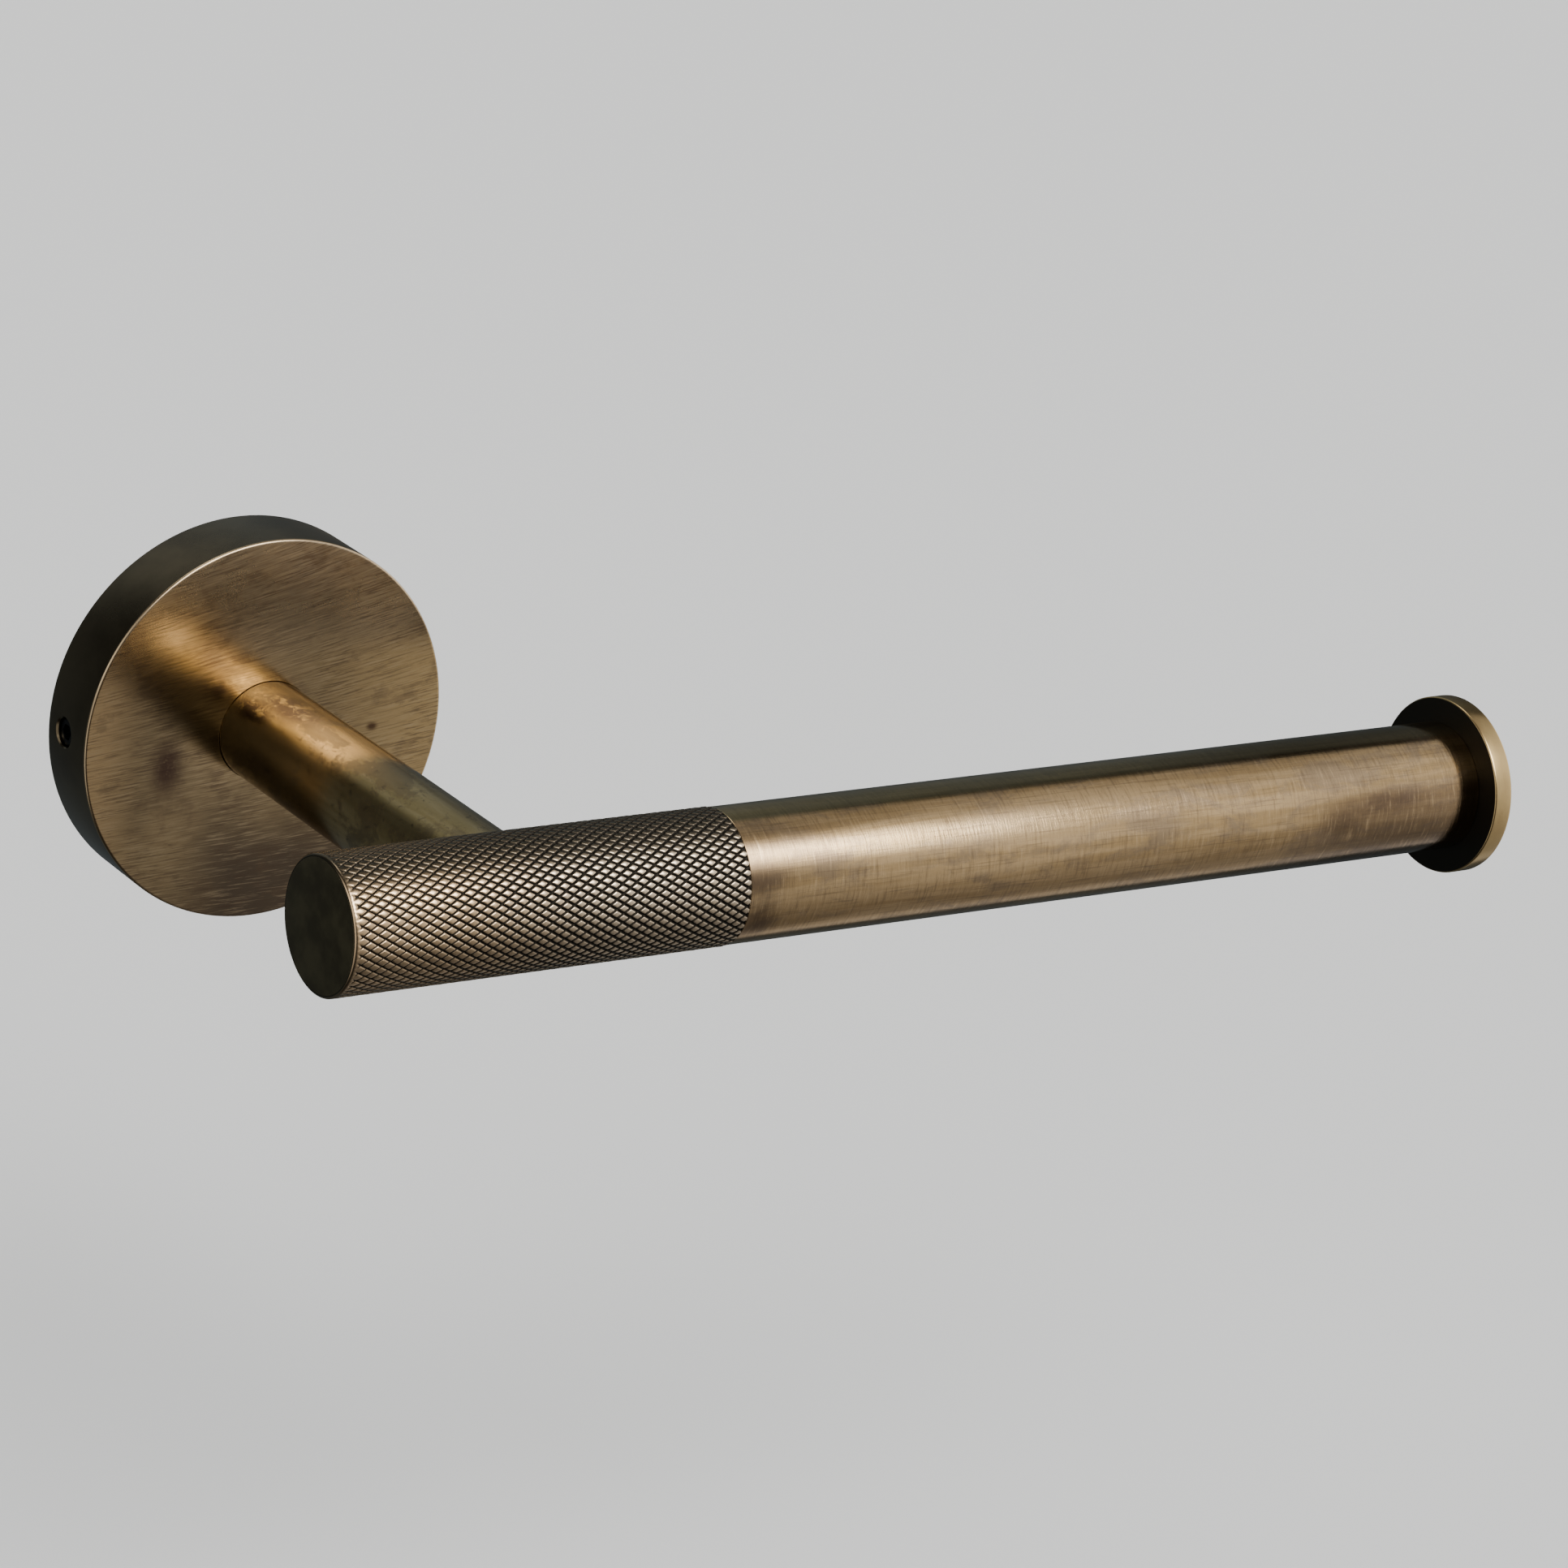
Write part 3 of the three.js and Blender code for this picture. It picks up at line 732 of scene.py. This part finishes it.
def post_screw():
    """A button-head screw with a hexagon socket, from inside the rose into the post."""
    bottom, top = -HEAD_HIGH.y, -HEAD_LOW.y
    head_top = bottom + 2.9
    head_radius = HEAD_HIGH.x
    socket, socket_depth = 4.0, 1.9
    outline = rounded([
        (0, bottom, 0), (2.8, bottom, 0.3), (head_radius, bottom + 1.9, 0.8), (head_radius, head_top, 0.1),
        (M6_CORE, head_top, 0), (M6_CORE, top - 0.6, 0), (M6_CORE - 0.6, top, 0), (0, top, 0),
    ])
    body = turned("post_screw_body", outline, on_post, ZINC_PLATE, segments=64)
    return cut(body, hexagon(on_post, socket, bottom - 1, bottom + socket_depth))


def washer(name, low, high):
    """A flat ring for an M6 screw, between the two corners of its box."""
    bore, outer = M6_CLEARANCE, high.x
    return turned(name, rounded([
        (bore, -high.y, 0.1), (outer, -high.y, 0.15), (outer, -low.y, 0.15), (bore, -low.y, 0.1),
    ]), on_post, ZINC_PLATE, segments=96, closed=True)


def spring_washer():
    """A washer that is split at its left side."""
    ring = washer("split_washer", SPLIT_LOW, SPLIT_HIGH)
    gap = [(x * MM, y * MM, z * MM) for x in (-6.2, -2.5) for y in (SPLIT_LOW.y - 1, SPLIT_HIGH.y + 1)
           for z in (-0.5, 0.5)]
    faces = [(0, 1, 3, 2), (4, 5, 7, 6), (0, 1, 5, 4), (2, 3, 7, 6), (0, 2, 6, 4), (1, 3, 7, 5)]
    return cut(ring, new_piece("cutter", gap, faces, None))


# ---- The bar side --------------------------------------------------------------------------

def groove_profile(distance, width):
    """Relief of one family of grooves, 0 in the groove and 1 on the diamond's top."""
    flank = np.clip(distance / width, 0.0, 1.0)
    crown = np.clip(distance / 0.5, 0.0, 1.0)
    return 0.90 * (1.0 - (1.0 - flank) ** 1.5) + 0.10 * (1.0 - (1.0 - crown) ** 2)


def knurl_relief(heights, angles):
    """Relief by ring and angle. The grooves widen to the right."""
    turns = KNURL_STARTS * angles[None, :] / (2 * math.pi)
    along = heights[:, None] / KNURL_PITCH
    width = 0.13 + 0.08 * np.clip((heights[:, None] + 27.0) / 35.0, 0.0, 1.0)
    relief = np.ones((len(heights), len(angles)))
    for across in (turns + along, turns - along):
        relief = relief * groove_profile(np.abs(across - np.round(across)), width)
    return relief


def grip():
    """The knurled sleeve, ring by ring: its bore, a plain rounded lip at its left end, and the knurl."""
    per_diamond = 12
    around = KNURL_STARTS * per_diamond
    step = KNURL_PITCH / per_diamond
    left, right = GRIP_LOW.x, GRIP_HIGH.x
    lip, fade = 0.4, 0.6
    count = int((right - left - lip) / step)
    heights = right - step * np.arange(count, -1, -1)
    angles = 2 * math.pi * np.arange(around) / around
    strength = np.clip((heights[:, None] - left - lip) / fade, 0.0, 1.0)
    radius = GRIP_RADIUS - KNURL_DEPTH * (1.0 - knurl_relief(heights, angles)) * strength
    counterbore, seat = END_DISC_RADIUS + 0.02, left + END_DISC_SEAT
    outline = [(BORE_RADIUS, right), (BORE_RADIUS, seat), (counterbore, seat), (counterbore, left)]
    for inward, along in ((0.9, 0), (0.55, 0.16), (0.22, 0.45), (0.03, 0.85)):
        outline.append((GRIP_RADIUS - lip * inward, left + lip * along))
    rings = [(np.full(around, ring_radius), height) for ring_radius, height in outline]
    rings += list(zip(radius, heights))
    rings.append((radius[-1] - 0.25, right))
    vertices = []
    for radii, height in rings:
        ring = [np.full(around, height), -(BAR_OUT + radii * np.cos(angles)), radii * np.sin(angles)]
        vertices.append(np.stack(ring, 1) * MM)
    vertices = np.concatenate(vertices)
    rows = len(rings)
    j, i = np.meshgrid(np.arange(rows), np.arange(around), indexing="ij")
    k, n = (i + 1) % around, (j + 1) % rows
    faces = np.stack([j * around + i, j * around + k, n * around + k, n * around + i], -1).reshape(-1, 4)
    return new_piece("knurled_grip", vertices.tolist(), faces.tolist(), KNURL, sharp=60)


def bar_tube():
    """The plain tube, lengthened to close the model's gaps to the grip and the flange."""
    left, right = TUBE_LOW.x - 0.25, TUBE_HIGH.x + 0.27
    return turned("plain_bar", rounded([
        (BORE_RADIUS, left, 0.1), (BAR_RADIUS, left, 0.15), (BAR_RADIUS, right, 0.1),
        (BORE_RADIUS, right, 0.1),
    ]), on_bar, BAR, segments=256, closed=True)


def grip_cap():
    """The grip's flat end, on a short threaded stub."""
    face, back, thread = GRIP_LOW.x, CAP_LOW.x + 2.6, CAP_HIGH.x
    return turned("grip_end_disc", rounded([
        (0, face, 0), (END_DISC_RADIUS, face, 0.03), (END_DISC_RADIUS, back, 0.2),
        (M6_CORE, back, 0), (M6_CORE, thread, 0.3), (0, thread, 0),
    ]), on_bar, END_DISC, segments=192)


def flange():
    """The disc at the bar's right end, on a short threaded stub."""
    inner, outer = FLANGE_HIGH.x - FLANGE_THICKNESS, FLANGE_HIGH.x
    thread = FLANGE_LOW.x
    return turned("end_flange_disc", rounded([
        (0, thread, 0), (M6_CORE, thread, 0.3), (M6_CORE, inner, 0), (FLANGE_RADIUS, inner, 0.3),
        (FLANGE_RADIUS, outer, 0.3), (0, outer, 0),
    ], steps=6), on_bar, FLANGE, segments=256)


show(rose(), "holder", "aged_brass", "rose")
show(grub_screw(), "grub_screw", "black_steel", "rose_grub_screw")
show(post(), "holder", "aged_brass", "post")
show(post_screw(), "holder", "zinc_steel", "post_screw")
show(washer("flat_washer", WASHER_LOW, WASHER_HIGH), "holder", "zinc_steel", "post_washer")
show(spring_washer(), "holder", "zinc_steel", "post_spring_washer")
show(wall_plate(), "wall_fixing", "cast_zinc", "wall_plate")
show(wood_screw("wood_screw_upper", WOOD_SCREW_AT), "wall_fixing", "zinc_steel", "wall_screw_upper")
show(wood_screw("wood_screw_lower", -WOOD_SCREW_AT), "wall_fixing", "zinc_steel", "wall_screw_lower")
show(grip(), "holder", "knurled_brass", "knurled_sleeve")
show(grip_cap(), "holder", "aged_brass", "grip_end_cap")
show(bar_tube(), "holder", "aged_brass", "bar_tube")
show(flange(), "holder", "aged_brass", "end_flange")

for node, material in (("bar_core", TURNED), ("end_plug", TURNED), ("post_stud", ZINC_PLATE)):
    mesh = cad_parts[node].data
    mesh.materials.clear()
    mesh.materials.append(material)


# ---- Floor, light and camera ---------------------------------------------------------------

def floor():
    """A pale floor below the holder, which doesn't show in the metal."""
    size, drop = 6.0, 0.13
    points = [(x, y, -drop) for x, y in ((-size, -size), (size, -size), (size, size), (-size, size))]
    piece = new_piece("floor", points, [(0, 1, 2, 3)], None)
    paint = bpy.data.materials.new("floor_paint")
    paint.use_nodes = True
    shader = paint.node_tree.nodes["Principled BSDF"]
    shader.inputs["Base Color"].default_value = (0.72, 0.72, 0.71, 1)
    shader.inputs["Roughness"].default_value = 0.8
    piece.data.materials.append(paint)
    piece.visible_glossy = False


class Sky:
    """The studio's light, as a world whose brightness depends on direction."""

    def __init__(self):
        world = bpy.data.worlds.new("studio")
        bpy.context.scene.world = world
        world.use_nodes = True
        self.tree = world.node_tree
        self.out = self.tree.nodes["Background"]
        self.toward = self.tree.nodes.new("ShaderNodeTexCoord").outputs["Generated"]

    feed = Finish.feed
    node = Finish.node
    vector = Finish.vector
    math = Finish.math
    add = Finish.add
    times = Finish.times
    split = Finish.split
    step = Finish.step
    mix = Finish.mix
    blend = Finish.blend

    def bell(self, value, centre, width, strength):
        """A soft hump over one quantity."""
        off = self.math("DIVIDE", self.math("SUBTRACT", value, centre), width)
        fall = self.math("EXPONENT", self.times(self.times(off, off), -0.5))
        return self.times(fall, strength)

    def lamp(self, direction, width, strength):
        """A soft round light: width is its spread in degrees."""
        aim = Vector(direction).normalized()
        off = self.math("SUBTRACT", self.vector("DOT_PRODUCT", self.toward, tuple(aim)), 1.0)
        spread = self.math("EXPONENT", self.math("DIVIDE", off, math.radians(width) ** 2))
        return self.times(spread, strength)

    def grey(self, value):
        node = self.node("ShaderNodeCombineColor")
        for socket in node.inputs[:3]:
            self.feed(socket, value)
        return node.outputs[0]


def front_light(sky, x, rise):
    """A wide soft light, fuller to the right, a strong light above it and a weak one below.

    Rise is an angle in degrees: 0 is straight out from the wall, 90 is up and 180 is behind the wall.
    """
    wide = sky.add(sky.bell(rise, 32, 45, 0.68), 0.22)
    wide = sky.times(wide, sky.blend(sky.step(x, 0.44, 0.54), 0.62, 1.0))
    front = sky.add(sky.times(sky.step(x, -0.25, 0.4), wide), 0.04)
    front = sky.add(front, sky.times(sky.step(x, -0.62, -0.80), 0.7))
    front = sky.add(front, sky.times(sky.step(x, 0.70, 0.85), 0.9))
    main = sky.bell(rise, 49, 11, 11.5)
    main = sky.times(main, sky.blend(sky.step(x, -0.38, -0.20), 0.05, 1.0))
    main = sky.times(main, sky.blend(sky.step(x, 0.46, 0.52), 1.0, 0.07))
    main = sky.times(main, sky.step(x, 0.575, 0.545))
    bounce = sky.times(sky.bell(rise, -97, 7, 0.26), sky.step(x, 0.2, 0.5))
    return sky.add(sky.add(front, main), bounce)


def back_light(sky, x, z, rise):
    """The dim room behind the wall plane, darkest to the left and below."""
    back = sky.blend(sky.step(x, -0.42, -0.18), 0.05, 0.25)
    back = sky.times(back, sky.blend(sky.step(x, 0.38, 0.56), 1.0, 0.5))
    far_right = sky.step(x, 0.60, 0.64)
    back = sky.times(back, sky.blend(far_right, 1.0, 0.4))
    low = sky.blend(far_right, 0.08, 0.05)
    back = sky.blend(sky.step(z, -0.1, 0.3), low, back)
    return sky.math("SUBTRACT", back, sky.bell(rise, 124, 4, 0.05))


# Lamps at the right, the left and above, which light the holder's back: direction, width, strength.
LAMPS = (((0.95, 0.25, 0.2), 9, 2.5), ((-0.95, 0.25, 0.3), 9, 2.0), ((-0.1, 0.42, 0.9), 8, 3.0))


def studio():
    """Soft light from the front and above, a darker grey-green room behind, and a plain background."""
    sky = Sky()
    x, y, z = sky.split(sky.toward)
    rise = sky.math("ARCTAN2", z, sky.times(y, -1.0))
    rise = sky.times(rise, 180 / math.pi)
    front = sky.grey(front_light(sky, x, rise))
    back = sky.mix(1.0, sky.grey(back_light(sky, x, z, rise)), (0.95, 1.1, 1.15), mode="MULTIPLY")
    behind = sky.math("ADD", sky.step(rise, 112, 119), sky.step(rise, -103, -107), clamp=True)
    light = sky.mix(behind, front, back)
    for direction, width, strength in LAMPS:
        light = sky.mix(1.0, light, sky.grey(sky.lamp(direction, width, strength)), mode="ADD")
    seen = sky.node("ShaderNodeLightPath").outputs["Is Camera Ray"]
    light = sky.mix(seen, light, (0.75, 0.75, 0.74))
    sky.feed(sky.out.inputs["Color"], light)
    sky.out.inputs["Strength"].default_value = 1.0


def camera():
    """The camera, to the left of the holder and above it, tilted a little."""
    at = Vector((-0.34396, -0.60963, 0.24696))
    yaw, pitch, roll = math.radians(35.73), math.radians(-19.68), math.radians(6.98)
    ahead = Vector((math.sin(yaw) * math.cos(pitch), math.cos(yaw) * math.cos(pitch), math.sin(pitch)))
    right = Vector((math.cos(yaw), -math.sin(yaw), 0))
    up = right.cross(ahead)
    tilted_right = math.cos(roll) * right + math.sin(roll) * up
    tilted_up = math.cos(roll) * up - math.sin(roll) * right
    data = bpy.data.cameras.new("camera")
    data.lens = 124.3
    data.sensor_width = 36
    data.clip_start = 0.01
    piece = bpy.data.objects.new("camera", data)
    bpy.context.scene.collection.objects.link(piece)
    turn = Matrix((tilted_right, tilted_up, -ahead)).transposed().to_4x4()
    piece.matrix_world = Matrix.Translation(at) @ turn
    bpy.context.scene.camera = piece


floor()
studio()
camera()
